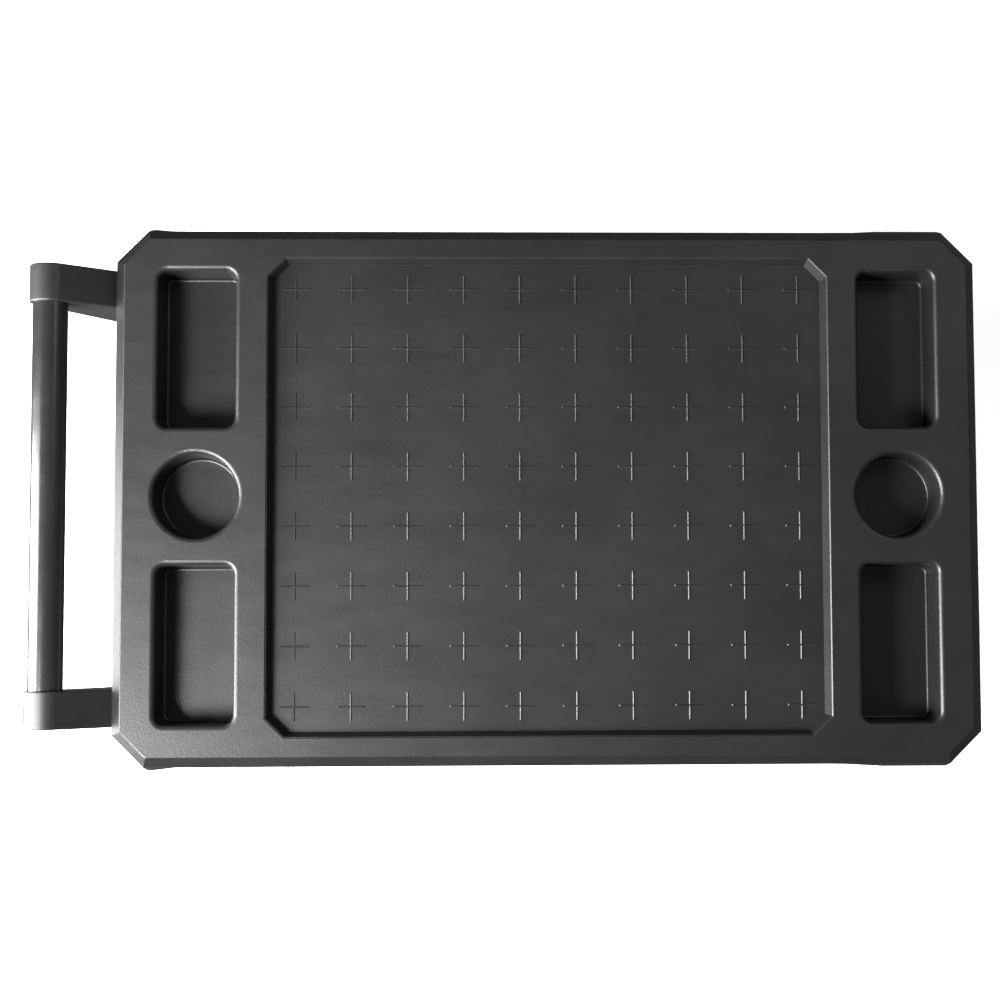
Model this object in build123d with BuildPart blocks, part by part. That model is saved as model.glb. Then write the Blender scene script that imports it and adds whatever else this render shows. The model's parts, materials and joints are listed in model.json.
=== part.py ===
"""Rolling garage service cart: a moulded top tray with parts pockets and cup holders, a deep lower
tray, four hollow posts, a push bar between two wedge brackets, two braked swivel casters at the
handle end and two fixed casters at the nose end.

Row frame: +X points from the handle to the nose, +Y to the pusher's left, +Z up.  The origin is on
the floor, at the centre of the whole cart's footprint.  Millimetres.
"""

import os
from math import cos, radians, sin, sqrt, tan

from build123d import *

# ---------------------------------------------------------------- driving dimensions
# trays, seen from above
TRAY_LENGTH = 846.0  # over the skirt, along X
TRAY_WIDTH = 524.0  # over the skirt, along Y
CORNER_CUT = 31.0  # 45 degree corner, measured along each side
BEVEL_OUT = 10.0  # sloped shoulder round the top face
BEVEL_DROP = 13.0
DECK = 4.0  # thickness of the flat top
WALL = 4.0  # skirts, tubs and posts
EDGE_ROUND = 1.4  # moulded edges of the shoulders
RIM_BREAK = 1.0  # broken rim of the recess and the basin
SKIRT = 40.0  # depth of a skirt between the corners
CORNER_SKIRT = 142.0  # depth of the top tray's sleeves round the posts
LOW_CORNER_SKIRT = 62.0
BULGE = 3.0  # how far the sleeves stand out of the long sides
BULGE_TOP = 8.0  # height over which they swell
SLEEVE_LENGTH = {-1: 40.0, 1: 96.0}  # along X, at the handle end and at the nose
FADE = {-1: 26.0, 1: 52.0}  # length over which a sleeve runs out into the skirt
END_SLEEVE = 168.0  # inner edge of a sleeve on the end faces, from the cart's centre plane
END_FADE = 34.0

# top tray
TOP_Z = 830.0  # height of the top face
RECESS_LENGTH = 548.0
RECESS_WIDTH = 466.0
RECESS_CUT = 18.0
RECESS_DEPTH = 14.0
RECESS_SLOPE = 4.5  # how far its walls lean in from top to floor
POCKET_X = 342.6  # pocket and cup centres, from the tray's centre
POCKET_Y = 144.0
POCKET_SIZE = (75.0, 154.0)
POCKET_CORNER = 9.5
POCKET_DEPTH = 44.0
CUP_DIAMETER = 82.2
CUP_DEPTH = 44.0
LIP_ROUND = 5.0  # rolled edge of pockets and cups
FLOOR_ROUND = 3.0
DRAFT = 1.5  # walls of pockets and cups
CROSS_PITCH = (55.0, 58.4)  # raised crosses that stop parts from sliding
CROSS_COUNT = (10, 8)
CROSS_ARM = 28.0
CROSS_LINE = 2.0  # width at the foot of a ridge
CROSS_HEIGHT = 0.7
CROSS_SLOPE = 48.0  # flanks of a ridge
RIB = 3.0
RIB_DROP = 34.0  # lower edge of the ribs, below the top face
RIB_STEP = (91.0, 116.8)
RIB_COUNT = (5, 4)

# lower tray
BASIN_LENGTH = 736.0
BASIN_WIDTH = 476.0
BASIN_CUT = 24.0
BASIN_DEPTH = 72.0
BASIN_SLOPE = 6.0
SOCKET_DEPTH = 44.0  # how deep the posts stand in the lower tray
GROOVE_STEP = 56.0  # raised ribs on the basin floor
GROOVES = 7
GROOVE_SIZE = (14.0, 380.0)
GROOVE_HEIGHT = 2.0

# posts
POST_INSET = 13.0  # outer faces, in from the skirts
POST_DEPTH = 35.0  # along X
POST_INNER_Y = 182.0  # inner face, from the cart's centre plane
POST_FIT = 0.3  # gap round a post in its sleeve and socket
BOSS_R = 8.0
ACCESS_R = 9.0  # driver holes behind the bracket bolts

# handle
TUBE_DIAMETER = 33.5
TUBE_WALL = 2.0
BAR_X = 482.6  # centre of the bar, from the tray's centre
BAR_RISE = 5.0  # above the top face
BRACKET_END = 20.0  # radius of the bracket round the bar
BRACKET_IN = 187.0  # faces of a bracket, from the cart's centre plane
BRACKET_OUT = 223.5
TOP_SLOPE = 40.0  # degrees below the horizontal, upper edge of a bracket
UNDER_SLOPE = 60.0  # the same, lower edge
SOCKET_IN = 25.0  # how deep the tube sits in a bracket
TUBE_FIT = 0.15
BRACKET_ROUND = 1.5
FLANK_DEPTH = 1.6  # sunk panel on a bracket's outer flank
FLANK_INSET = 9.0

# fasteners
SCREW_R = 2.9  # corner screws of the trays
SCREW_HEAD_R = 5.6
SCREW_HEAD = 2.8
SCREW_LENGTH = 24.0
SCREW_DROPS = (88.0, 124.0)  # below the top face
LOW_SCREW_DROP = 34.0  # below the lower tray's rim
BOLT_R = 4.0
HOLE_GAP = 0.2  # radial, bolts and screws in their holes
FIT = 0.1  # radial, pieces fixed in one another
WASHER_R = 8.0
WASHER = 1.6
HEX_R = 7.5  # corner radius of an 8 mm hexagon
HEX_H = 5.3
NUT_H = 6.5
BRACKET_BOLT_DROPS = (64.0, 90.0, 116.0)  # below the top face
BRACKET_BOLT_GRIP = 12.0  # length inside a bracket

# casters
CASTER_HEIGHT = 156.0
CASTER_PAD = 8.0  # raised pads under the lower tray
CASTER_X = 306.0  # plate centres, from the tray's centre
CASTER_Y = 178.0
PLATE = (102.0, 78.0, 3.0)
PLATE_CORNER = 8.0
PLATE_HOLES = (80.0, 56.0)
WHEEL_DIAMETER = 125.0
WHEEL_WIDTH = 32.0
CORE_R = 50.0
CORE_RIM = 6.0
CORE_WEB = 5.0
SPOKES = 6
HUB_R = 14.0
HUB_WIDTH = 40.0
TYRE_ROUND = 7.0
TRAIL = 38.0  # how far a swivel wheel's axle trails its kingpin
FORK_GAP = 42.0  # between the fork's legs
SHEET = 3.0  # pressed steel of the forks
FORK_CORNER = 5.0
LEG_END = 15.0  # radius of a leg round the axle
SLEEVE_R = 6.35
RUN_GAP = 0.06  # radial, wheel bore on its sleeve and fork on its kingpin
KINGPIN_R = 6.0
KINGPIN_HEAD = (10.0, 4.0)  # radius and height under the fork
RACE_RADII = (14.0, 25.0)
RACE_H = 10.0
BODY_GAP = 0.3  # between pieces that move past each other
PEDAL_PIN_R = 3.0
PEDAL_PIVOT = (-60.0, 132.0)  # X from the kingpin, Z from the floor
PEDAL_TRAVEL = 14.0  # degrees from free to locked
PEDAL_TAB = 52.0  # length from its pin to the toe
PEDAL_WIDTH = 38.0
PEDAL_THICK = 4.0
TREADS = 4  # ridges across the toe
TREAD_STEP = 5.0
SHOE_GAP = 0.4  # between the locked pedal's shoe and the tyre

# ---------------------------------------------------------------- derived places
REACH = BAR_X + BRACKET_END  # handle side, from the tray's centre
CX = (REACH - TRAY_LENGTH / 2) / 2  # the tray's centre in the row frame
HALF_L = TRAY_LENGTH / 2
HALF_W = TRAY_WIDTH / 2
SHOULDER = TOP_Z - BEVEL_DROP
POST_IN_X = HALF_L - POST_INSET - POST_DEPTH
POST_MID_X = HALF_L - POST_INSET - POST_DEPTH / 2
LOW_Z = CASTER_HEIGHT + CASTER_PAD + WALL + BASIN_DEPTH
POST_FOOT = LOW_Z - SOCKET_DEPTH
POCKET_EDGE = POCKET_X + POCKET_SIZE[0] / 2 + WALL
POST_NOTCH = TOP_Z - POCKET_DEPTH - WALL - POST_FIT  # a post is thinner above this, beside a pocket
BAR_Z = TOP_Z + BAR_RISE
BRACKET_MID = (BRACKET_IN + BRACKET_OUT) / 2
WHEEL_R = WHEEL_DIAMETER / 2
LEG_OUT = FORK_GAP / 2 + SHEET
RACE_Z = CASTER_HEIGHT - PLATE[2] - RACE_H
CROWN_TOP = RACE_Z - BODY_GAP
CORNERS = [(end, side) for end in (-1, 1) for side in (1, -1)]
END_NAME = {-1: "handle", 1: "nose"}
SIDE_NAME = {1: "left", -1: "right"}


# ---------------------------------------------------------------- planes and outlines
def at(z, x=0.0, y=0.0):
    """A horizontal plane at height z whose origin is x, y from the tray's centre."""
    return Plane(origin=(CX + x, y, z))


def upright(y, x=0.0, z=0.0):
    """A vertical plane facing -Y at that y: its own x runs along X and its own y runs along Z."""
    return Plane(origin=(CX + x, y, z), x_dir=(1, 0, 0), z_dir=(0, -1, 0))


def end_plane(end, x, y=0.0, z=0.0):
    """A vertical plane across the cart, x from the tray's centre, facing out of that end."""
    return Plane(origin=(CX + end * x, y, z), x_dir=(0, end, 0), z_dir=(end, 0, 0))


def corner_plane(end, side, z, inset=0.0):
    """A plane on the 45 degree corner of the skirts at height z, facing out of the tray."""
    shift = CORNER_CUT / 2 + inset / sqrt(2)
    x, y = end * (HALF_L - shift), side * (HALF_W - shift)
    return Plane(origin=(CX + x, y, z), x_dir=(0, 0, 1), z_dir=(end, side, 0))


def octagon(length, width, cut, inset=0.0):
    """A rectangle with 45 degree corners, drawn in the open sketch, moved in by inset all round."""
    hx, hy = length / 2 - inset, width / 2 - inset
    c = cut - inset * (2 - sqrt(2))
    corners = [(hx, c - hy), (hx, hy - c), (hx - c, hy), (c - hx, hy)]
    corners += [(-x, -y) for x, y in corners]
    Polygon(*corners, align=None)


def corner_patch(end, side, x_in, y_in, inset):
    """One corner of the octagon, from x_in and y_in out to the given inset from the skirts."""
    hx, hy = HALF_L - inset, HALF_W - inset
    c = CORNER_CUT - inset * (2 - sqrt(2))
    points = [(x_in, y_in), (hx, y_in), (hx, hy - c)]
    points += [(hx - c, hy), (x_in, hy)] if x_in < hx - c else [(x_in, hx + hy - c - x_in)]
    Polygon(*[(end * x, side * y) for x, y in points], align=None)


def level(z):
    """Edges of the open part that lie at height z."""
    return edges().filter_by_position(Axis.Z, z - 0.01, z + 0.01)


def save(builder, name):
    """Label a finished part and write it out."""
    builder.part.label = name
    export_step(builder.part, f"parts/{name}.step")


# ---------------------------------------------------------------- shared tray shapes
def shell(z, corner_skirt):
    """The shoulder, flat top and skirt of a tray, open underneath, with sleeves at the corners."""
    shoulder, bottom = z - BEVEL_DROP, z - corner_skirt
    body(z, shoulder, bottom, 0.0, z)
    fillet(level(z) + level(shoulder), EDGE_ROUND)
    for end, side in CORNERS:
        swelling(end, side, bottom, shoulder - BULGE_TOP)
    body(z, shoulder, bottom, WALL, z - DECK, Mode.SUBTRACT)
    side_arches(z - SKIRT, bottom)
    end_arches(z - SKIRT, bottom)


def body(z, shoulder, bottom, inset, lid, mode=Mode.ADD):
    """The tray's outer form, or the same form moved in by a wall and ending at a lower lid."""
    with BuildSketch(at(bottom)) as foot:
        octagon(TRAY_LENGTH, TRAY_WIDTH, CORNER_CUT, inset)
    extrude(foot.sketch, amount=shoulder - bottom, mode=mode)
    with BuildSketch(at(shoulder)) as wide:
        octagon(TRAY_LENGTH, TRAY_WIDTH, CORNER_CUT, inset)
    with BuildSketch(at(lid)) as narrow:
        lean = BEVEL_OUT * (lid - shoulder) / (z - shoulder)
        octagon(TRAY_LENGTH, TRAY_WIDTH, CORNER_CUT, inset + lean)
    loft([wide.sketch, narrow.sketch], mode=mode)


def swelling(end, side, bottom, full):
    """The long side stands out a little round a post."""
    with BuildSketch(at(bottom)) as foot:
        swell_outline(end, side, BULGE)
    extrude(foot.sketch, amount=full - bottom)
    with BuildSketch(at(full)) as wide:
        swell_outline(end, side, BULGE)
    with BuildSketch(at(full + BULGE_TOP)) as thin:
        swell_outline(end, side, BULGE / 50)
    loft([wide.sketch, thin.sketch])


def swell_outline(end, side, grow):
    """A swelling seen from above: in line with the 45 degree corner, fading into the long side."""
    start, stop = HALF_L - CORNER_CUT, HALF_L - SLEEVE_LENGTH[end]
    inner = HALF_W - WALL / 2
    points = [(start + WALL / 2, inner), (start - grow, HALF_W + grow), (stop, HALF_W + grow)]
    points += [(stop - FADE[end], HALF_W), (stop - FADE[end], inner)]
    Polygon(*[(end * x, side * y) for x, y in points], align=None)


def side_arches(edge, bottom):
    """Between the sleeves the long skirts are cut back in a flat arch."""
    left, right = SLEEVE_LENGTH[-1] - HALF_L, HALF_L - SLEEVE_LENGTH[1]
    for y in (HALF_W + BULGE + WALL, BULGE + WALL - HALF_W):
        with BuildSketch(upright(y)) as opening:
            arch(left, left + FADE[-1], right - FADE[1], right, bottom, edge)
        extrude(opening.sketch, amount=2 * (BULGE + WALL), mode=Mode.SUBTRACT)


def end_arches(edge, bottom):
    """The end skirts are cut back in the same way."""
    for end in (-1, 1):
        with BuildSketch(end_plane(end, HALF_L - 2 * WALL)) as opening:
            arch(-END_SLEEVE, END_FADE - END_SLEEVE, END_SLEEVE - END_FADE, END_SLEEVE, bottom, edge)
        extrude(opening.sketch, amount=3 * WALL, mode=Mode.SUBTRACT)


def arch(x0, x1, x2, x3, bottom, edge):
    """A flat arch with S-curved flanks: x0 to x3 at the bottom, x1 to x2 along the upper edge."""
    with BuildLine() as outline:
        Spline((x0, bottom), (x1, edge), tangents=((1, 0), (1, 0)))
        Line((x1, edge), (x2, edge))
        Spline((x2, edge), (x3, bottom), tangents=((1, 0), (1, 0)))
        Line((x3, bottom), (x0, bottom))
    make_face(outline.edges())


def tub(z, length, width, cut, depth, slope, outer=False):
    """An eight-sided tub with leaning walls: the hollow itself or, with outer, the skin round it."""
    grow = WALL if outer else 0.0
    with BuildSketch(at(z - (DECK / 2 if outer else 0.0))) as rim:
        octagon(length, width, cut, -grow)
    with BuildSketch(at(z - depth - grow)) as floor:
        octagon(length, width, cut, slope - grow)
    loft([rim.sketch, floor.sketch], mode=Mode.ADD if outer else Mode.SUBTRACT)


def soft_rim(z, length, width, cut):
    """Breaks the sharp rim of an eight-sided tub."""
    with BuildSketch(at(z)) as rim:
        octagon(length, width, cut, -RIM_BREAK)
    with BuildSketch(at(z - RIM_BREAK)) as wall:
        octagon(length, width, cut)
    loft([rim.sketch, wall.sketch], mode=Mode.SUBTRACT)


def well(draw, places, depth, outer=False):
    """Straight wells with a little draft; draw(grow) puts one outline in the open sketch."""
    grow, start = (WALL, DECK / 2) if outer else (0.0, 0.0)
    with BuildSketch(at(TOP_Z - start)) as rim:
        with Locations(*places):
            draw(grow)
    drop = start - depth - grow
    extrude(rim.sketch, amount=drop, taper=DRAFT, mode=Mode.ADD if outer else Mode.SUBTRACT)


def pocket_outline(grow):
    """The rounded rectangle of a parts pocket."""
    RectangleRounded(POCKET_SIZE[0] + 2 * grow, POCKET_SIZE[1] + 2 * grow, POCKET_CORNER + grow)


def cup_outline(grow):
    """The circle of a cup holder."""
    Circle(CUP_DIAMETER / 2 + grow)


def screw_bosses(heights):
    """Bosses between a tray's corner and its posts, drilled for the corner screws."""
    for end, side in CORNERS:
        for z in heights:
            with BuildSketch(corner_plane(end, side, z, POST_INSET - POST_FIT)) as boss:
                Circle(BOSS_R)
            extrude(boss.sketch, amount=POST_INSET - POST_FIT - WALL / 2)


def screw_holes(heights):
    """Clearance holes for the corner screws, through tray and post alike."""
    for end, side in CORNERS:
        for z in heights:
            with BuildSketch(corner_plane(end, side, z)) as hole:
                Circle(SCREW_R + HOLE_GAP)
            extrude(hole.sketch, amount=-SCREW_LENGTH, mode=Mode.SUBTRACT)


def post_lands(bottom, top):
    """Upright ribs inside the sleeves that hold the posts off the skirts."""
    for end, side in CORNERS:
        reach = POST_INSET - POST_FIT - WALL / 2
        with BuildSketch(at(bottom)) as lands:
            for y in (POST_INNER_Y + 4, HALF_W - CORNER_CUT - 4):
                with Locations((end * (HALF_L - WALL / 2 - reach / 2), side * y)):
                    Rectangle(reach, RIB)
            with Locations((end * POST_MID_X, side * (HALF_W - WALL / 2 - reach / 2))):
                Rectangle(RIB, reach)
        extrude(lands.sketch, amount=top - bottom)


# ---------------------------------------------------------------- top tray
os.makedirs("parts", exist_ok=True)
POCKETS = [(end * POCKET_X, side * POCKET_Y) for end, side in CORNERS]
CUPS = [(end * POCKET_X, 0.0) for end in (-1, 1)]
TOP_SCREWS = [TOP_Z - drop for drop in SCREW_DROPS]
BRACKET_BOLTS = [TOP_Z - drop for drop in BRACKET_BOLT_DROPS]

with BuildPart() as top_tray:
    shell(TOP_Z, CORNER_SKIRT)
    # Skins and ribs hang from the flat top; the hollows are cut once everything is in place.
    tub(TOP_Z, RECESS_LENGTH, RECESS_WIDTH, RECESS_CUT, RECESS_DEPTH, RECESS_SLOPE, outer=True)
    well(pocket_outline, POCKETS, POCKET_DEPTH, outer=True)
    well(cup_outline, CUPS, CUP_DEPTH, outer=True)
    with BuildSketch(at(TOP_Z - RIB_DROP)):
        with GridLocations(RIB_STEP[0], 0, RIB_COUNT[0], 1):
            Rectangle(RIB, TRAY_WIDTH - 2 * BEVEL_OUT + 2)
        with GridLocations(0, RIB_STEP[1], 1, RIB_COUNT[1]):
            Rectangle(RECESS_LENGTH, RIB)
        Rectangle(TRAY_LENGTH - 2 * BEVEL_OUT + 2, RIB)
    extrude(amount=RIB_DROP - DECK / 2)
    post_lands(TOP_Z - CORNER_SKIRT, SHOULDER)
    screw_bosses(TOP_SCREWS)
    for side in (1, -1):
        for z in BRACKET_BOLTS:
            with BuildSketch(end_plane(-1, HALF_L - POST_INSET + POST_FIT, side * BRACKET_MID, z)):
                Circle(BOSS_R)
            extrude(amount=POST_INSET - POST_FIT - WALL / 2)
    tub(TOP_Z, RECESS_LENGTH, RECESS_WIDTH, RECESS_CUT, RECESS_DEPTH, RECESS_SLOPE)
    soft_rim(TOP_Z, RECESS_LENGTH, RECESS_WIDTH, RECESS_CUT)
    well(pocket_outline, POCKETS, POCKET_DEPTH)
    well(cup_outline, CUPS, CUP_DEPTH)
    screw_holes(TOP_SCREWS)
    for side in (1, -1):
        for z in BRACKET_BOLTS:
            with BuildSketch(end_plane(-1, HALF_L - POST_INSET, side * BRACKET_MID, z)):
                Circle(BOLT_R + HOLE_GAP)
            extrude(amount=POST_INSET, mode=Mode.SUBTRACT)
    rims = level(TOP_Z).filter_by(lambda e: abs(abs(e.center().X - CX) - POCKET_X) < POCKET_SIZE[0] * 0.6)
    fillet(rims.filter_by(lambda e: abs(e.center().Y) < POCKET_Y + POCKET_SIZE[1] * 0.55), LIP_ROUND)
    fillet(level(TOP_Z - POCKET_DEPTH), FLOOR_ROUND)
    with BuildSketch(at(TOP_Z - RECESS_DEPTH)):
        with GridLocations(*CROSS_PITCH, *CROSS_COUNT):
            Rectangle(CROSS_ARM, CROSS_LINE)
            Rectangle(CROSS_LINE, CROSS_ARM)
    extrude(amount=CROSS_HEIGHT, taper=CROSS_SLOPE)
save(top_tray, "top_tray")


# ---------------------------------------------------------------- lower tray
def sockets(gap):
    """The outlines of the four posts, grown by gap."""
    for end, side in CORNERS:
        corner_patch(end, side, POST_IN_X - gap, POST_INNER_Y - gap, POST_INSET - gap)


def caster_pads():
    """Outlines of the four caster pads."""
    with Locations(*[(end * CASTER_X, side * CASTER_Y) for end, side in CORNERS]):
        RectangleRounded(PLATE[0] + 2 * WALL, PLATE[1] + 2 * WALL, PLATE_CORNER)


def caster_holes(radius):
    """Outlines of the sixteen bolt holes of the casters."""
    for end, side in CORNERS:
        with Locations((end * CASTER_X, side * CASTER_Y)):
            with GridLocations(*PLATE_HOLES, 2, 2):
                Circle(radius)


LOW_FLOOR = LOW_Z - BASIN_DEPTH
LOW_SCREWS = [LOW_Z - LOW_SCREW_DROP]

with BuildPart() as bottom_tray:
    shell(LOW_Z, LOW_CORNER_SKIRT)
    tub(LOW_Z, BASIN_LENGTH, BASIN_WIDTH, BASIN_CUT, BASIN_DEPTH, BASIN_SLOPE, outer=True)
    with BuildSketch(at(POST_FOOT - WALL)):
        for end, side in CORNERS:
            corner_patch(end, side, BASIN_LENGTH / 2, POST_INNER_Y - WALL, WALL / 2)
    extrude(amount=WALL)
    post_lands(POST_FOOT, LOW_Z - BEVEL_DROP)
    screw_bosses(LOW_SCREWS)
    with BuildSketch(at(CASTER_HEIGHT)):
        caster_pads()
    extrude(amount=CASTER_PAD + WALL / 2)
    with BuildSketch(at(LOW_FLOOR - WALL - CASTER_PAD)):
        with GridLocations(RIB_STEP[0] * 2, 0, 3, 1):
            Rectangle(RIB, BASIN_WIDTH - 4 * BASIN_SLOPE)
        with GridLocations(0, RIB_STEP[1], 1, 2):
            Rectangle(BASIN_LENGTH - 4 * BASIN_SLOPE, RIB)
    extrude(amount=CASTER_PAD + WALL / 2)
    tub(LOW_Z, BASIN_LENGTH, BASIN_WIDTH, BASIN_CUT, BASIN_DEPTH, BASIN_SLOPE)
    soft_rim(LOW_Z, BASIN_LENGTH, BASIN_WIDTH, BASIN_CUT)
    with BuildSketch(at(POST_FOOT)):
        sockets(POST_FIT)
    extrude(amount=SOCKET_DEPTH, mode=Mode.SUBTRACT)
    with BuildSketch(at(LOW_FLOOR)):
        with GridLocations(GROOVE_STEP, 0, GROOVES, 1):
            SlotOverall(GROOVE_SIZE[1], GROOVE_SIZE[0], rotation=90)
    extrude(amount=GROOVE_HEIGHT, taper=30)
    with BuildSketch(at(CASTER_HEIGHT)):
        caster_holes(BOLT_R + HOLE_GAP)
    extrude(amount=CASTER_PAD + WALL, mode=Mode.SUBTRACT)
    screw_holes(LOW_SCREWS)
save(bottom_tray, "bottom_tray")

# ---------------------------------------------------------------- posts
for end, side in CORNERS:
    with BuildPart() as post:
        thin_x = POCKET_EDGE + POST_FIT
        with BuildSketch(at(POST_FOOT)) as section:
            corner_patch(end, side, POST_IN_X, POST_INNER_Y, POST_INSET)
            fillet(section.vertices(), EDGE_ROUND)
        extrude(amount=POST_NOTCH - POST_FOOT)
        with BuildSketch(at(POST_NOTCH)) as section:
            corner_patch(end, side, thin_x, POST_INNER_Y, POST_INSET)
            fillet(section.vertices(), EDGE_ROUND)
        extrude(amount=TOP_Z - DECK - POST_NOTCH)
        with BuildSketch(at(POST_FOOT)):
            corner_patch(end, side, POST_IN_X + WALL, POST_INNER_Y + WALL, POST_INSET + WALL)
        extrude(amount=POST_NOTCH - WALL - POST_FOOT, mode=Mode.SUBTRACT)
        with BuildSketch(at(POST_NOTCH - WALL)):
            corner_patch(end, side, thin_x + WALL, POST_INNER_Y + WALL, POST_INSET + WALL)
        extrude(amount=TOP_Z - DECK - POST_NOTCH, mode=Mode.SUBTRACT)
        screw_holes(TOP_SCREWS + LOW_SCREWS)
        if end < 0:
            for z in BRACKET_BOLTS:
                with BuildSketch(end_plane(end, HALF_L, side * BRACKET_MID, z)):
                    Circle(BOLT_R + HOLE_GAP)
                extrude(amount=-POST_INSET - 2 * WALL, mode=Mode.SUBTRACT)
                with BuildSketch(end_plane(end, POST_IN_X - WALL, side * BRACKET_MID, z)):
                    Circle(ACCESS_R)
                extrude(amount=3 * WALL, mode=Mode.SUBTRACT)
    save(post, f"post_{END_NAME[end]}_{SIDE_NAME[side]}")


# ---------------------------------------------------------------- fasteners
def bolt(plane, length, head_r=HEX_R, head_h=HEX_H, shank_r=BOLT_R, washer=True):
    """A hexagon bolt: the head stands on the plane, behind a washer, and the shank runs below."""
    base = plane.offset(WASHER) if washer else plane
    if washer:
        with BuildSketch(plane) as ring:
            Circle(WASHER_R)
        extrude(ring.sketch, amount=WASHER)
    with BuildSketch(base) as head:
        RegularPolygon(head_r, 6)
    extrude(head.sketch, amount=head_h)
    with BuildSketch(base) as shank:
        Circle(shank_r)
    extrude(shank.sketch, amount=-length - (WASHER if washer else 0.0))


def nut(plane, bore_r=BOLT_R + FIT, height=NUT_H):
    """A hexagon nut standing on the plane."""
    with BuildSketch(plane) as outline:
        RegularPolygon(HEX_R, 6)
        Circle(bore_r, mode=Mode.SUBTRACT)
    extrude(outline.sketch, amount=height)


def domed_screw(plane):
    """A round-headed screw with a hexagon socket, its head standing on the plane."""
    with BuildSketch(plane) as seat:
        Circle(SCREW_HEAD_R)
    extrude(seat.sketch, amount=SCREW_HEAD * 0.35)
    with BuildSketch(plane.offset(SCREW_HEAD * 0.35)) as dome:
        Circle(SCREW_HEAD_R)
    extrude(dome.sketch, amount=SCREW_HEAD * 0.65, taper=40)
    with BuildSketch(plane.offset(SCREW_HEAD)) as key:
        RegularPolygon(SCREW_R * 0.8, 6)
    extrude(key.sketch, amount=-SCREW_HEAD * 0.6, mode=Mode.SUBTRACT)
    with BuildSketch(plane) as shank:
        Circle(SCREW_R)
    extrude(shank.sketch, amount=2 - SCREW_LENGTH)


for heights, name in ((TOP_SCREWS, "top_tray_screws"), (LOW_SCREWS, "bottom_tray_screws")):
    with BuildPart() as screws:
        for end, side in CORNERS:
            for z in heights:
                domed_screw(corner_plane(end, side, z))
    save(screws, name)

with BuildPart() as bracket_bolts:
    inside = HALF_L - POST_INSET - WALL
    for side in (1, -1):
        for z in BRACKET_BOLTS:
            seat = end_plane(-1, inside, side * BRACKET_MID, z)
            bolt(Plane(origin=seat.origin, x_dir=seat.x_dir, z_dir=-seat.z_dir),
                 WALL + POST_INSET + BRACKET_BOLT_GRIP)
save(bracket_bolts, "bracket_bolts")

with BuildPart() as caster_bolts:
    for end, side in CORNERS:
        for dx in (-PLATE_HOLES[0] / 2, PLATE_HOLES[0] / 2):
            for dy in (-PLATE_HOLES[1] / 2, PLATE_HOLES[1] / 2):
                place = at(LOW_FLOOR, end * CASTER_X + dx, side * CASTER_Y + dy)
                bolt(place, WALL + CASTER_PAD + PLATE[2] + NUT_H + 2)
save(caster_bolts, "caster_bolts")

with BuildPart() as caster_nuts:
    for end, side in CORNERS:
        for dx in (-PLATE_HOLES[0] / 2, PLATE_HOLES[0] / 2):
            for dy in (-PLATE_HOLES[1] / 2, PLATE_HOLES[1] / 2):
                place = at(CASTER_HEIGHT - PLATE[2], end * CASTER_X + dx, side * CASTER_Y + dy)
                nut(Plane(origin=place.origin, x_dir=(1, 0, 0), z_dir=(0, 0, -1)))
save(caster_nuts, "caster_nuts")

# ---------------------------------------------------------------- handle
BAR = (-BAR_X, BAR_Z)
UPPER = (BAR[0] + BRACKET_END * sin(radians(TOP_SLOPE)), BAR[1] + BRACKET_END * cos(radians(TOP_SLOPE)))
LOWER = (BAR[0] - BRACKET_END * sin(radians(UNDER_SLOPE)), BAR[1] - BRACKET_END * cos(radians(UNDER_SLOPE)))
BASE_TOP = UPPER[1] - (-HALF_L - UPPER[0]) * tan(radians(TOP_SLOPE))
BASE_FOOT = LOWER[1] - (-HALF_L - LOWER[0]) * tan(radians(UNDER_SLOPE))


def bracket_profile(inset=0.0):
    """A bracket from the side: round at the bar, widening down to its foot on the tray."""
    with BuildLine() as outline:
        Line(UPPER, (-HALF_L, BASE_TOP))
        Line((-HALF_L, BASE_TOP), (-HALF_L, BASE_FOOT))
        Line((-HALF_L, BASE_FOOT), LOWER)
        ThreePointArc(LOWER, (BAR[0] - BRACKET_END, BAR[1]), UPPER)
    make_face(outline.edges())
    if inset:
        offset(amount=-inset, mode=Mode.REPLACE)


for side in (1, -1):
    inner = side * BRACKET_IN
    low_y = BRACKET_IN if side > 0 else -BRACKET_OUT
    with BuildPart() as bracket:
        with BuildSketch(upright(low_y + BRACKET_OUT - BRACKET_IN)):
            bracket_profile()
        extrude(amount=BRACKET_OUT - BRACKET_IN)
        free = bracket.faces().filter_by(Axis.Y).edges()
        fillet(free.filter_by(lambda e: abs(e.center().X - CX + HALF_L) > 0.1), BRACKET_ROUND)
        with BuildSketch(upright(side * BRACKET_OUT + (0 if side > 0 else FLANK_DEPTH))):
            bracket_profile(FLANK_INSET)
        extrude(amount=FLANK_DEPTH, mode=Mode.SUBTRACT)
        with BuildSketch(upright(inner, -BAR_X, BAR_Z)):
            Circle(TUBE_DIAMETER / 2 + TUBE_FIT)
        extrude(amount=-side * SOCKET_IN, mode=Mode.SUBTRACT)
        for z in BRACKET_BOLTS:
            with BuildSketch(end_plane(-1, HALF_L, side * BRACKET_MID, z)):
                Circle(BOLT_R + FIT)
            extrude(amount=BRACKET_BOLT_GRIP + 2, mode=Mode.SUBTRACT)
    save(bracket, f"handle_bracket_{SIDE_NAME[side]}")

with BuildPart() as handle_tube:
    with BuildSketch(upright(0, -BAR_X, BAR_Z)):
        Circle(TUBE_DIAMETER / 2)
        Circle(TUBE_DIAMETER / 2 - TUBE_WALL, mode=Mode.SUBTRACT)
    extrude(amount=BRACKET_IN + SOCKET_IN, both=True)
save(handle_tube, "handle_tube")


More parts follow.
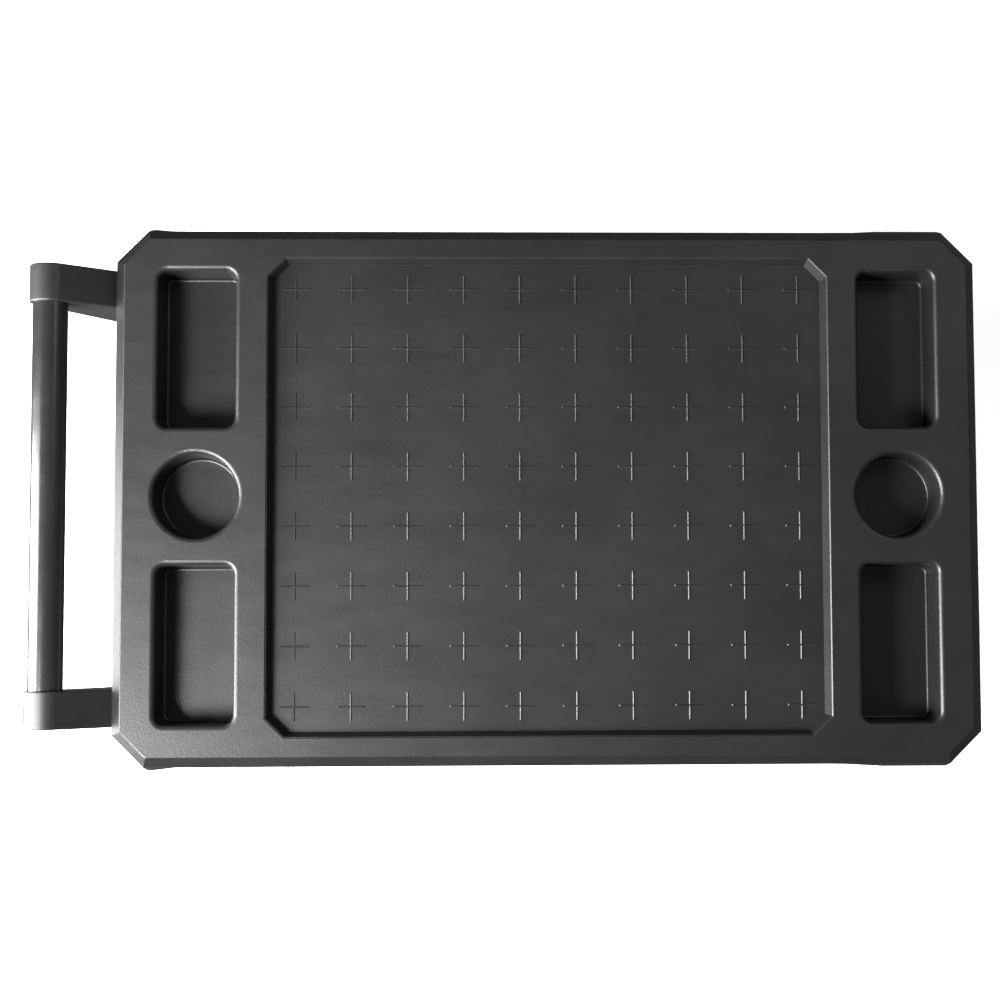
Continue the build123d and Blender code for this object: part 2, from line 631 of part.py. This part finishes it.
# ---------------------------------------------------------------- casters
def caster_plate(hole_r):
    """The top plate's outline with its four bolt holes."""
    RectangleRounded(PLATE[0], PLATE[1], PLATE_CORNER)
    with GridLocations(*PLATE_HOLES, 2, 2):
        Circle(hole_r, mode=Mode.SUBTRACT)


def legs(x, y, outline, holes):
    """Both legs of a fork as plates; outline is drawn in X and Z, holes lists (x, z, radius)."""
    for low in (FORK_GAP / 2, -LEG_OUT):
        with BuildSketch(upright(y + low + SHEET, x)) as leg:
            Polygon(*outline, align=None)
            with Locations((holes[0][0], holes[0][1])):
                Circle(LEG_END)
            for hole_x, hole_z, radius in holes:
                with Locations((hole_x, hole_z)):
                    Circle(radius, mode=Mode.SUBTRACT)
        extrude(leg.sketch, amount=SHEET)


def wheel_parts(x, y, name):
    """Tyre, core, sleeve, axle bolt and nut of one wheel whose axle is x, y from the tray's centre."""
    with BuildPart() as hub:
        with BuildSketch(upright(y, x, WHEEL_R)):
            Circle(CORE_R)
            Circle(CORE_R - CORE_RIM, mode=Mode.SUBTRACT)
        extrude(amount=WHEEL_WIDTH / 2 - 3, both=True)
        with BuildSketch(upright(y, x, WHEEL_R)):
            Circle(CORE_R - CORE_RIM / 2)
        extrude(amount=CORE_WEB / 2, both=True)
        with BuildSketch(upright(y, x, WHEEL_R)):
            Circle(HUB_R)
        extrude(amount=HUB_WIDTH / 2, both=True)
        with BuildSketch(upright(y, x, WHEEL_R)):
            with PolarLocations((HUB_R + CORE_R - CORE_RIM) / 2, SPOKES):
                Rectangle(CORE_R - CORE_RIM - HUB_R + 2, RIB)
        extrude(amount=WHEEL_WIDTH / 2 - 6, both=True)
        with BuildSketch(upright(y, x, WHEEL_R)):
            Circle(SLEEVE_R + RUN_GAP)
        extrude(amount=HUB_WIDTH, both=True, mode=Mode.SUBTRACT)
    save(hub, f"wheel_hub_{name}")
    with BuildPart() as tyre:
        with BuildSketch(upright(y, x, WHEEL_R)):
            Circle(WHEEL_R)
        extrude(amount=WHEEL_WIDTH / 2, both=True)
        fillet(tyre.edges(), TYRE_ROUND)
        with BuildSketch(upright(y, x, WHEEL_R)):
            Circle(CORE_R + FIT)
        extrude(amount=WHEEL_WIDTH, both=True, mode=Mode.SUBTRACT)
    save(tyre, f"tyre_{name}")
    with BuildPart() as sleeve:
        with BuildSketch(upright(y, x, WHEEL_R)):
            Circle(SLEEVE_R)
            Circle(BOLT_R + FIT, mode=Mode.SUBTRACT)
        extrude(amount=FORK_GAP / 2, both=True)
    save(sleeve, f"axle_sleeve_{name}")
    out = 1 if y > 0 else -1
    with BuildPart() as axle:
        head = Plane(origin=(CX + x, y + out * LEG_OUT, WHEEL_R), x_dir=(1, 0, 0), z_dir=(0, out, 0))
        bolt(head, 2 * LEG_OUT + NUT_H + 2, washer=False)
    save(axle, f"axle_bolt_{name}")
    with BuildPart() as lock_nut:
        face = Plane(origin=(CX + x, y - out * LEG_OUT, WHEEL_R), x_dir=(1, 0, 0), z_dir=(0, -out, 0))
        nut(face)
    save(lock_nut, f"axle_nut_{name}")


def swivel_caster(x, y, name):
    """A braked swivel caster whose kingpin is x, y from the tray's centre."""
    axle = (-TRAIL, WHEEL_R)
    with BuildPart() as plate:
        with BuildSketch(at(CASTER_HEIGHT - PLATE[2], x, y)):
            caster_plate(BOLT_R + HOLE_GAP)
            Circle(KINGPIN_R + FIT, mode=Mode.SUBTRACT)
        extrude(amount=PLATE[2])
    save(plate, f"caster_plate_{name}")
    with BuildPart() as race:
        with BuildSketch(at(RACE_Z, x, y)):
            Circle(RACE_RADII[1])
            Circle(RACE_RADII[0], mode=Mode.SUBTRACT)
        extrude(amount=RACE_H)
        chamfer(race.edges().group_by(Axis.Z)[0], 1.0)
    save(race, f"swivel_race_{name}")
    with BuildPart() as kingpin:
        foot = CROWN_TOP - SHEET - BODY_GAP
        with BuildSketch(at(foot, x, y)):
            Circle(KINGPIN_R)
        extrude(amount=CASTER_HEIGHT - foot)
        with BuildSketch(at(foot - KINGPIN_HEAD[1], x, y)):
            Circle(KINGPIN_HEAD[0])
        extrude(amount=KINGPIN_HEAD[1])
        chamfer(kingpin.edges().group_by(Axis.Z)[0], 1.0)
    save(kingpin, f"kingpin_{name}")
    with BuildPart() as fork:
        back, front = PEDAL_PIVOT[0] - 9, RACE_RADII[1] + 3
        with BuildSketch(at(CROWN_TOP - SHEET, x, y)):
            with Locations(((back + front) / 2, 0)):
                RectangleRounded(front - back, 2 * LEG_OUT, FORK_CORNER)
            Circle(RACE_RADII[1] + 4)
            Circle(KINGPIN_R + RUN_GAP, mode=Mode.SUBTRACT)
            with Locations((back, 0)):
                Rectangle(2 * (-TRAIL + 8 - back), FORK_GAP, mode=Mode.SUBTRACT)
        extrude(amount=SHEET)
        profile = [(back + 2, CROWN_TOP), (back, PEDAL_PIVOT[1] - 9), (axle[0] - LEG_END, WHEEL_R),
                   (axle[0] + LEG_END, WHEEL_R), (front, CROWN_TOP - 22), (front - 2, CROWN_TOP)]
        legs(x, y, profile, [(*axle, BOLT_R + HOLE_GAP), (*PEDAL_PIVOT, PEDAL_PIN_R + FIT)])
    save(fork, f"caster_fork_{name}")
    with BuildPart() as pin:
        with BuildSketch(upright(y, x + PEDAL_PIVOT[0], PEDAL_PIVOT[1])):
            Circle(PEDAL_PIN_R)
        extrude(amount=LEG_OUT + 1.5, both=True)
    save(pin, f"pedal_pin_{name}")
    brake_pedal(x, y, name)
    wheel_parts(x - TRAIL, y, name)


def brake_pedal(x, y, name):
    """A foot pedal with a curved shoe; drawn pressed against the tyre, then lifted to its free pose."""
    px, pz = PEDAL_PIVOT
    toe, barrel = px - PEDAL_TAB, PEDAL_PIN_R + PEDAL_THICK
    shoe_back, shoe_front, shoe_foot = px - 30, px - 6, pz - 34
    with BuildPart() as pedal:
        with BuildSketch(upright(y + PEDAL_WIDTH / 2, x)):
            with Locations((px, pz)):
                Circle(barrel)
            Polygon((toe, pz - 10), (toe, pz - 10 + PEDAL_THICK), (px - 5, pz + barrel - 1),
                    (px, pz + barrel), (px, pz - 3), align=None)
            Polygon((shoe_back, pz - 4), (shoe_back, shoe_foot), (shoe_front, shoe_foot),
                    (shoe_front, pz), align=None)
            for tread in range(TREADS):
                with Locations((toe + 3 + tread * TREAD_STEP, pz - 6 + tread * TREAD_STEP * 0.2)):
                    Rectangle(TREAD_STEP / 2, TREAD_STEP / 2)
            with Locations((-TRAIL, WHEEL_R)):
                Circle(WHEEL_R + SHOE_GAP, mode=Mode.SUBTRACT)
            with Locations((px, pz)):
                Circle(PEDAL_PIN_R + RUN_GAP, mode=Mode.SUBTRACT)
        extrude(amount=PEDAL_WIDTH)
    pivot = Axis((CX + x + px, y, pz), (0, 1, 0))
    free = pedal.part.rotate(pivot, PEDAL_TRAVEL)
    free.label = f"brake_pedal_{name}"
    export_step(free, f"parts/brake_pedal_{name}.step")


def fixed_caster(x, y, name):
    """A fixed caster centred x, y from the tray's centre."""
    with BuildPart() as fork:
        with BuildSketch(at(CASTER_HEIGHT - PLATE[2], x, y)):
            caster_plate(BOLT_R + HOLE_GAP)
        extrude(amount=PLATE[2])
        profile = [(-32, CASTER_HEIGHT - PLATE[2]), (-LEG_END, WHEEL_R), (LEG_END, WHEEL_R),
                   (32, CASTER_HEIGHT - PLATE[2])]
        legs(x, y, profile, [(0, WHEEL_R, BOLT_R + HOLE_GAP)])
    save(fork, f"caster_fork_{name}")
    wheel_parts(x, y, name)


for end, side in CORNERS:
    caster = swivel_caster if end < 0 else fixed_caster
    caster(end * CASTER_X, side * CASTER_Y, f"{END_NAME[end]}_{SIDE_NAME[side]}")
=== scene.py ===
"""Looks of the garage service cart: moulded black plastic, satin tube, zinc casters, soft light."""

import json
from math import cos, pi, radians, sin

import bmesh
import bpy
from mathutils import Matrix, Vector


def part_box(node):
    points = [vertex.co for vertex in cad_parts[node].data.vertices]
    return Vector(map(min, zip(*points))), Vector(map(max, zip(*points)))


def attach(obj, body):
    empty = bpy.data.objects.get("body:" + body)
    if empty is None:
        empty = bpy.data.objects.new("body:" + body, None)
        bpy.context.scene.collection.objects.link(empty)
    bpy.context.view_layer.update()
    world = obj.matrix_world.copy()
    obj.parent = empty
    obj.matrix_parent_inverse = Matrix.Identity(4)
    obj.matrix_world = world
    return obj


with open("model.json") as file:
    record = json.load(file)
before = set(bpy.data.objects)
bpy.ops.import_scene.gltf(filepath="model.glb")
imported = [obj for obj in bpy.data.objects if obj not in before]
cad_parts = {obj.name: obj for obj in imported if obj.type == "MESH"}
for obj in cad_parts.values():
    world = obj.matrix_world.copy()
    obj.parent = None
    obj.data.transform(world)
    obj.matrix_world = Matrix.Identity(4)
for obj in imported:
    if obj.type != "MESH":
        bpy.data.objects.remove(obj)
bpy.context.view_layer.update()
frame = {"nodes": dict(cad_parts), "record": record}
NODES = frame["nodes"]
CASTERS = [f"{end}_{side}" for end in ("handle", "nose") for side in ("left", "right")]
DECK_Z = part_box("top_tray")[1].z
TRAY_X = (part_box("top_tray")[0].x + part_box("top_tray")[1].x) / 2
RING_RADII = (0.0525, 0.0545)  # raised rings on a tyre's wall, metres
RING_WIDTH = 0.0014
RING_FLANK = 0.0004
RING_SUNK = 0.0006  # foot of a ring, inside the wall
RING_PROUD = 0.0002
SHARP = 35  # degrees, edges kept sharp in smooth shading
FLOOR_HALF = 1.5
FLOOR_GLOW = 0.8
WORLD_LIGHT = 0.16


# ---------------------------------------------------------------- materials
class Mat:
    """A node material built step by step."""

    def __init__(self, name):
        self.mat = bpy.data.materials.new(name)
        self.mat.use_nodes = True
        self.tree = self.mat.node_tree
        self.bsdf = self.tree.nodes["Principled BSDF"]
        self.coords = self.tree.nodes.new("ShaderNodeTexCoord").outputs["Object"]
        self.height = None

    def node(self, kind, **values):
        made = self.tree.nodes.new("ShaderNode" + kind)
        for key, value in values.items():
            if key in made.inputs:
                made.inputs[key].default_value = value
            else:
                setattr(made, key, value)
        return made

    def link(self, a, b):
        self.tree.links.new(a, b)

    def noise(self, scale, detail=3.0, rough=0.55, stretch=None):
        """Noise whose scale is in cycles per metre, stretched if asked."""
        tex = self.node("TexNoise", Scale=scale, Detail=detail, Roughness=rough)
        if stretch:
            mapping = self.node("Mapping")
            mapping.inputs["Scale"].default_value = stretch
            self.link(self.coords, mapping.inputs["Vector"])
            self.link(mapping.outputs["Vector"], tex.inputs["Vector"])
        else:
            self.link(self.coords, tex.inputs["Vector"])
        return tex.outputs["Fac"]

    def ramp(self, source, low, high, start=0.3, stop=0.7):
        """Maps the values from start to stop onto the span from low to high."""
        span = self.node("MapRange")
        span.inputs["From Min"].default_value = start
        span.inputs["From Max"].default_value = stop
        span.inputs["To Min"].default_value = low
        span.inputs["To Max"].default_value = high
        self.link(source, span.inputs["Value"])
        return span.outputs["Result"]

    def colour(self, source, a, b, start=0.35, stop=0.65):
        """Blends two colours by a value."""
        ramp = self.node("ValToRGB")
        ramp.color_ramp.elements[0].position = start
        ramp.color_ramp.elements[1].position = stop
        ramp.color_ramp.elements[0].color = (*a, 1)
        ramp.color_ramp.elements[1].color = (*b, 1)
        self.link(source, ramp.inputs["Fac"])
        return ramp.outputs["Color"]

    def bump(self, source, distance, strength=1.0):
        """Adds a height; distance is in metres."""
        bump = self.node("Bump", Strength=strength, Distance=distance)
        self.link(source, bump.inputs["Height"])
        if self.height:
            self.link(self.height, bump.inputs["Normal"])
        self.height = bump.outputs["Normal"]
        self.link(self.height, self.bsdf.inputs["Normal"])

    def edges(self, colour, edge_highlight_and_wear, radius=0.0012, amount=0.6):
        """Paints edges lighter, partly as wear and partly as a painted highlight on the edge breaks: a
        bevel's normal leaves the true one only near an edge.
        """
        bevel = self.node("Bevel", samples=4)
        bevel.inputs["Radius"].default_value = radius
        geo = self.node("NewGeometry")
        dot = self.node("VectorMath", operation="DOT_PRODUCT")
        self.link(bevel.outputs["Normal"], dot.inputs[0])
        self.link(geo.outputs["Normal"], dot.inputs[1])
        near = self.ramp(dot.outputs["Value"], amount, 0.0, 0.85, 0.995)
        spots = self.ramp(self.noise(60, 4), 0.2, 1.0, 0.4, 0.6)
        mult = self.node("Math", operation="MULTIPLY")
        self.link(near, mult.inputs[0])
        self.link(spots, mult.inputs[1])
        mix = self.node("Mix", data_type="RGBA")
        # paler edge colour: partly wear, partly painted highlight on the rims
        mix.inputs[7].default_value = (*edge_highlight_and_wear, 1)
        self.link(mult.outputs["Value"], mix.inputs["Factor"])
        self.link(colour, mix.inputs[6])
        return mix.outputs[2]


def moulded(name, dark, light, rough, grain=1100.0, scuff=0.05):
    """Moulded plastic: fine pebbled grain, faint flow marks, scuffs and paler edges that are partly wear
    and partly painted highlight.
    """
    m = Mat(name)
    m.bsdf.inputs["IOR"].default_value = 1.5
    base = m.colour(m.noise(7, 5), dark, light)
    # edges painted lighter: partly wear, partly painted highlight on the rims
    base = m.edges(base, tuple(v * 2.2 + 0.01 for v in light))
    m.link(base, m.bsdf.inputs["Base Color"])
    broad = m.ramp(m.noise(18, 6, 0.6, (1, 2.5, 1)), rough - scuff, rough + scuff)
    m.link(broad, m.bsdf.inputs["Roughness"])
    pebbles = m.node("TexVoronoi", Scale=grain, feature="SMOOTH_F1")
    m.link(m.coords, pebbles.inputs["Vector"])
    m.bump(pebbles.outputs["Distance"], 0.00010, 0.5)
    m.bump(m.noise(420, 3), 0.00016, 0.6)
    return m.mat


def coated(name, dark, light, rough):
    """Satin powder coat with orange peel."""
    m = Mat(name)
    m.bsdf.inputs["IOR"].default_value = 1.5
    m.bsdf.inputs["Coat Weight"].default_value = 0.15
    m.bsdf.inputs["Coat Roughness"].default_value = 0.25
    # edges painted lighter: partly wear, partly painted highlight on the rims
    base = m.edges(m.colour(m.noise(12, 4), dark, light), (0.10, 0.10, 0.105), 0.0008, 0.5)
    m.link(base, m.bsdf.inputs["Base Color"])
    m.link(m.ramp(m.noise(40, 5), rough - 0.05, rough + 0.05), m.bsdf.inputs["Roughness"])
    m.bump(m.noise(650, 3), 0.00005, 0.5)
    return m.mat


def zinc(name):
    """Zinc plate: spangle, rolling lines and slight dulling."""
    m = Mat(name)
    m.bsdf.inputs["Metallic"].default_value = 1.0
    spangle = m.colour(m.noise(90, 5), (0.60, 0.61, 0.63), (0.80, 0.81, 0.83))
    m.link(spangle, m.bsdf.inputs["Base Color"])
    m.link(m.ramp(m.noise(160, 5), 0.28, 0.46), m.bsdf.inputs["Roughness"])
    m.bump(m.noise(300, 3, 0.5, (1, 1, 12)), 0.00004, 0.4)
    return m.mat


def rubber(name):
    """Tyre rubber: matt, dusty where it rolls."""
    m = Mat(name)
    dust = m.colour(m.noise(45, 6), (0.022, 0.022, 0.022), (0.055, 0.053, 0.05))
    m.link(dust, m.bsdf.inputs["Base Color"])
    m.link(m.ramp(m.noise(70, 5), 0.62, 0.82), m.bsdf.inputs["Roughness"])
    m.bump(m.noise(900, 4), 0.00015, 0.6)
    return m.mat


MATERIALS = {
    "tray_plastic": moulded("tray_plastic", (0.0095, 0.0095, 0.0092), (0.0135, 0.0135, 0.0130), 0.38,
                            scuff=0.03),
    "bracket_plastic": moulded("bracket_plastic", (0.011, 0.011, 0.012), (0.016, 0.016, 0.017), 0.42),
    "tube_coat": coated("tube_coat", (0.010, 0.010, 0.011), (0.014, 0.014, 0.015), 0.22),
    "dark_screws": coated("dark_screws", (0.02, 0.02, 0.021), (0.035, 0.035, 0.037), 0.38),
    "zinc": zinc("zinc_plate"),
    "wheel_core": moulded("wheel_core", (0.03, 0.03, 0.031), (0.045, 0.045, 0.047), 0.48, 900.0),
    "tyre_rubber": rubber("tyre_rubber"),
    "pedal_plastic": moulded("pedal_plastic", (0.135, 0.009, 0.008), (0.18, 0.013, 0.011), 0.42),
}
SLOTS = {part["node"]: part["material_slot"] for part in frame["record"]["subparts"]}
for name, node in NODES.items():
    if not node.data.materials:
        node.data.materials.append(None)
    for slot in node.material_slots:
        slot.link = "OBJECT"
        slot.material = MATERIALS[SLOTS[name]]


# ---------------------------------------------------------------- added detail
def piece(name, bm, body, slot):
    """Turns a bmesh into a smooth piece that rides on a body and takes a slot's finish."""
    mesh = bpy.data.meshes.new(name)
    bm.to_mesh(mesh)
    bm.free()
    mesh.shade_smooth()
    mesh.set_sharp_from_angle(angle=radians(SHARP))
    obj = bpy.data.objects.new(name, mesh)
    bpy.context.scene.collection.objects.link(obj)
    mesh.materials.append(MATERIALS[slot])
    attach(obj, body)


def lathe(bm, profile, centre, steps=96):
    """Revolves a closed profile of (radius, y) about an axle along Y."""
    rings = []
    for k in range(steps):
        a = 2 * pi * k / steps
        rings.append([bm.verts.new((centre.x + r * cos(a), centre.y + y, centre.z + r * sin(a)))
                      for r, y in profile])
    count = len(profile)
    for k in range(steps):
        one, two = rings[k], rings[(k + 1) % steps]
        for j in range(count):
            bm.faces.new((one[j], two[j], two[(j + 1) % count], one[(j + 1) % count]))


def wheel_trim(name):
    """Moulded rings that stand a little out of both sides of a tyre's wall."""
    lo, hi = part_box(f"tyre_{name}")
    centre = (lo + hi) / 2
    half = (hi.y - lo.y) / 2
    foot, top = half - RING_SUNK, half + RING_PROUD
    bm = bmesh.new()
    for side in (1, -1):
        for radius in RING_RADII:
            profile = [(radius, side * foot), (radius + RING_FLANK, side * top),
                       (radius + RING_WIDTH - RING_FLANK, side * top), (radius + RING_WIDTH, side * foot)]
            lathe(bm, profile, centre)
    bmesh.ops.recalc_face_normals(bm, faces=bm.faces)
    piece(f"tyre_rings_{name}", bm, f"wheel_{name}", "tyre_rubber")


for caster in CASTERS:
    wheel_trim(caster)


# ---------------------------------------------------------------- floor, light, camera
def floor():
    """A plain pale floor."""
    bm = bmesh.new()
    bmesh.ops.create_grid(bm, x_segments=2, y_segments=2, size=FLOOR_HALF)
    mesh = bpy.data.meshes.new("floor")
    bm.to_mesh(mesh)
    bm.free()
    obj = bpy.data.objects.new("floor", mesh)
    bpy.context.scene.collection.objects.link(obj)
    mat = bpy.data.materials.new("floor")
    mat.use_nodes = True
    bsdf = mat.node_tree.nodes["Principled BSDF"]
    bsdf.inputs["Base Color"].default_value = (0.9, 0.9, 0.9, 1)
    bsdf.inputs["Roughness"].default_value = 0.8
    bsdf.inputs["Emission Color"].default_value = (1, 1, 1, 1)
    bsdf.inputs["Emission Strength"].default_value = FLOOR_GLOW
    mesh.materials.append(mat)
    obj.visible_glossy = False  # keeps the skirt and bevels dark


def softbox(name, place, target, size, power, colour=(1, 1, 1)):
    """A rectangular area light aimed at a point; places are relative to the deck's centre."""
    data = bpy.data.lights.new(name, "AREA")
    data.shape, data.size, data.size_y = "RECTANGLE", size[0], size[1]
    data.energy, data.color = power, colour
    obj = bpy.data.objects.new(name, data)
    bpy.context.scene.collection.objects.link(obj)
    deck = Vector((TRAY_X, 0, DECK_Z))
    obj.location = deck + Vector(place)
    aim = deck + Vector(target) - obj.location
    obj.rotation_mode = "QUATERNION"
    obj.rotation_quaternion = aim.to_track_quat("-Z", "Y")


floor()
softbox("key", (-1.0, -0.62, 1.05), (-0.38, -0.2, 0), (0.5, 0.5), 66)
softbox("side", (-1.25, -0.36, 0.22), (0.0, -0.36, 0.22), (0.95, 1.1), 105)
softbox("fill", (1.3, 0.9, 1.6), (0.3, 0.1, 0), (0.8, 0.8), 4, (1, 0.96, 0.92))

world = bpy.data.worlds.new("studio")
world.use_nodes = True
world.node_tree.nodes["Background"].inputs["Color"].default_value = (1, 1, 1, 1)
world.node_tree.nodes["Background"].inputs["Strength"].default_value = WORLD_LIGHT
bpy.context.scene.world = world
bpy.context.scene.view_settings.view_transform = "Standard"

camera = bpy.data.cameras.new("camera")
camera.lens, camera.sensor_width = 64.8, 36.0
camera.shift_x = -0.046
eye = bpy.data.objects.new("camera", camera)
bpy.context.scene.collection.objects.link(eye)
TILT, ROLL, TURN = -0.0672, 0.0285, 0.0036  # about the camera's x, y and z
turn = Matrix.Rotation(TURN, 3, "Z") @ Matrix.Rotation(TILT, 3, "X") @ Matrix.Rotation(ROLL, 3, "Y")
eye.rotation_mode = "QUATERNION"
eye.rotation_quaternion = turn.transposed().to_quaternion()
eye.location = Vector((TRAY_X - 0.0526, -0.1222, DECK_Z + 1.746))
bpy.context.scene.camera = eye
